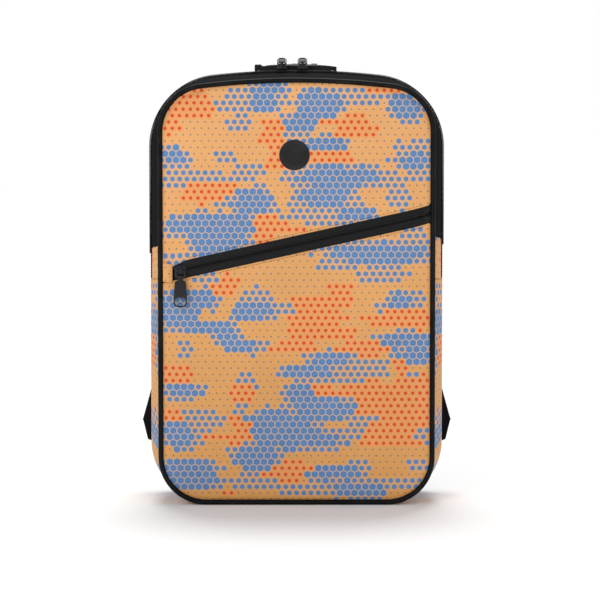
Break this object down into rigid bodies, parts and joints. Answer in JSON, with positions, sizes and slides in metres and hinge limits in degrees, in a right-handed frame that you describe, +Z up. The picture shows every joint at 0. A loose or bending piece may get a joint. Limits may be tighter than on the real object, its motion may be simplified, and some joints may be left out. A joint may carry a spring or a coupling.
{
  "type": "backpack",
  "caption": "Slim soft backpack with a fold-down zipped front, slanted zipped pocket, padded shoulder straps and a small combination lock on top.",
  "frame": {"origin": "middle of the flat base that the bag stands on, on its left-right centre line", "axes": "+Z up, +X to the right seen from the front, the printed front faces -Y and the straps are at +Y"},
  "size_m": [0.3274, 0.1812, 0.4548],
  "materials": {
    "printed_fabric": "matte",
    "coated_tape": "satin",
    "zip_coil": "satin",
    "piping": "satin",
    "lining": "matte",
    "padding_mesh": "matte",
    "black_fabric": "matte",
    "webbing": "matte",
    "board": "matte",
    "black_metal": "gloss",
    "black_rubber": "satin",
    "lock_plastic": "satin",
    "buckle_plastic": "satin"
  },
  "bodies": {
    "bag": {"lower_gusset": "printed_fabric", "rear_gusset": "printed_fabric", "rear_zip_tape": "coated_tape", "rear_zip_teeth": "zip_coil", "zip_end_stops": "black_metal", "lower_front_panel": "printed_fabric", "lower_piping": "piping", "back_panel": "black_fabric", "back_piping": "piping", "back_stiffener": "board", "back_pad_left": "padding_mesh", "back_pad_right": "padding_mesh", "back_pad_lower": "padding_mesh", "base_board": "board", "main_lining": "lining", "pocket_lining": "lining", "laptop_sleeve": "black_fabric", "strap_yoke": "black_fabric", "strap_roots": "black_fabric", "strap_anchors": "black_fabric", "handle_anchor": "black_fabric", "lock_base": "lock_plastic", "lock_case": "lock_plastic", "lock_spindle": "black_metal", "lock_rivets": "black_metal"},
    "front_flap": {"upper_front_panel": "printed_fabric", "pocket_panel": "printed_fabric", "pocket_zip_tape": "coated_tape", "pocket_zip_teeth": "zip_coil", "pocket_zip_stops": "black_metal", "upper_piping": "piping", "front_zip_strip": "coated_tape", "front_zip_teeth": "zip_coil", "zip_end_patches": "printed_fabric", "flap_lining": "lining", "badge": "black_rubber"},
    "pocket_slider": {"pocket_slider": "black_metal"},
    "pocket_pull_ring": {"pocket_pull_ring": "black_metal"},
    "pocket_pull_tab": {"pocket_pull_tab": "black_rubber"},
    "left_zip_slider": {"left_zip_slider": "black_metal"},
    "left_zip_pull": {"left_zip_pull": "black_metal"},
    "right_zip_slider": {"right_zip_slider": "black_metal"},
    "right_zip_pull": {"right_zip_pull": "black_metal"},
    "lock_dial_1": {"lock_dial_1": "lock_plastic"},
    "lock_dial_2": {"lock_dial_2": "lock_plastic"},
    "lock_dial_3": {"lock_dial_3": "lock_plastic"},
    "lock_button": {"lock_button": "lock_plastic", "lock_latch": "black_metal"},
    "haul_handle": {"haul_handle": "black_fabric"},
    "strap_left": {"strap_pad_left": "padding_mesh", "strap_adjuster_left": "buckle_plastic", "strap_webbing_left": "webbing"},
    "strap_right": {"strap_pad_right": "padding_mesh", "strap_adjuster_right": "buckle_plastic", "strap_webbing_right": "webbing"},
    "sleeve_strap": {"sleeve_strap": "webbing"}
  },
  "joints": [
    {"name": "flap_fold", "type": "hinge", "parent": "bag", "child": "front_flap", "pos_m": [0, -0.056, 0.229], "axis": [1, 0, 0], "range_deg": [0, 75]},
    {"name": "pocket_zip", "type": "slide", "parent": "front_flap", "child": "pocket_slider", "axis": [0.9764, 0, 0.2161], "range_m": [0, 0.235]},
    {"name": "pocket_ring_swing", "type": "hinge", "parent": "pocket_slider", "child": "pocket_pull_ring", "pos_m": [-0.117, -0.0608, 0.23911], "axis": [1, 0, 0], "range_deg": [-75, 0]},
    {"name": "pocket_tab_lift", "type": "hinge", "parent": "pocket_pull_ring", "child": "pocket_pull_tab", "pos_m": [-0.117, -0.0608, 0.23261], "axis": [-1, 0, 0], "range_deg": [0, 80]},
    {"name": "left_zip_run", "type": "hinge", "parent": "bag", "child": "left_zip_slider", "pos_m": [0, -0.024, -0.365], "axis": [0, -1, 0], "range_deg": [0, 5]},
    {"name": "left_pull_swing", "type": "hinge", "parent": "left_zip_slider", "child": "left_zip_pull", "pos_m": [-0.015, -0.024, 0.44716], "axis": [1, 0, 0], "range_deg": [0, 140]},
    {"name": "right_zip_run", "type": "hinge", "parent": "bag", "child": "right_zip_slider", "pos_m": [0, -0.024, -0.365], "axis": [0, 1, 0], "range_deg": [0, 5]},
    {"name": "right_pull_swing", "type": "hinge", "parent": "right_zip_slider", "child": "right_zip_pull", "pos_m": [0.006, -0.024, 0.44728], "axis": [1, 0, 0], "range_deg": [0, 140]},
    {"name": "dial_1_turn", "type": "hinge", "parent": "bag", "child": "lock_dial_1", "pos_m": [-0.002, 0.003, 0.4451], "axis": [1, 0, 0], "continuous": true},
    {"name": "dial_2_turn", "type": "hinge", "parent": "bag", "child": "lock_dial_2", "pos_m": [0.008, 0.003, 0.4451], "axis": [1, 0, 0], "continuous": true},
    {"name": "dial_3_turn", "type": "hinge", "parent": "bag", "child": "lock_dial_3", "pos_m": [0.018, 0.003, 0.4451], "axis": [1, 0, 0], "continuous": true},
    {"name": "button_press", "type": "slide", "parent": "bag", "child": "lock_button", "axis": [1, 0, 0], "range_m": [0, 0.004], "stiffness_N_per_m": 300, "springref_m": -0.002},
    {"name": "handle_swing", "type": "hinge", "parent": "bag", "child": "haul_handle", "pos_m": [0, 0.061, 0.426], "axis": [1, 0, 0], "range_deg": [0, 170]},
    {"name": "strap_left_swing", "type": "hinge", "parent": "bag", "child": "strap_left", "pos_m": [-0.07, 0.0553, 0.388], "axis": [0.251, 0, 0.968], "range_deg": [0, 20]},
    {"name": "strap_right_swing", "type": "hinge", "parent": "bag", "child": "strap_right", "pos_m": [0.07, 0.0553, 0.388], "axis": [0.251, 0, -0.968], "range_deg": [0, 20]},
    {"name": "sleeve_strap_lift", "type": "hinge", "parent": "bag", "child": "sleeve_strap", "pos_m": [0, 0.0442, 0.306], "axis": [-1, 0, 0], "range_deg": [0, 75]}
  ],
  "couplings": [
    {"joint": "pocket_ring_swing", "follows": "flap_fold", "ratio": -1}
  ]
}
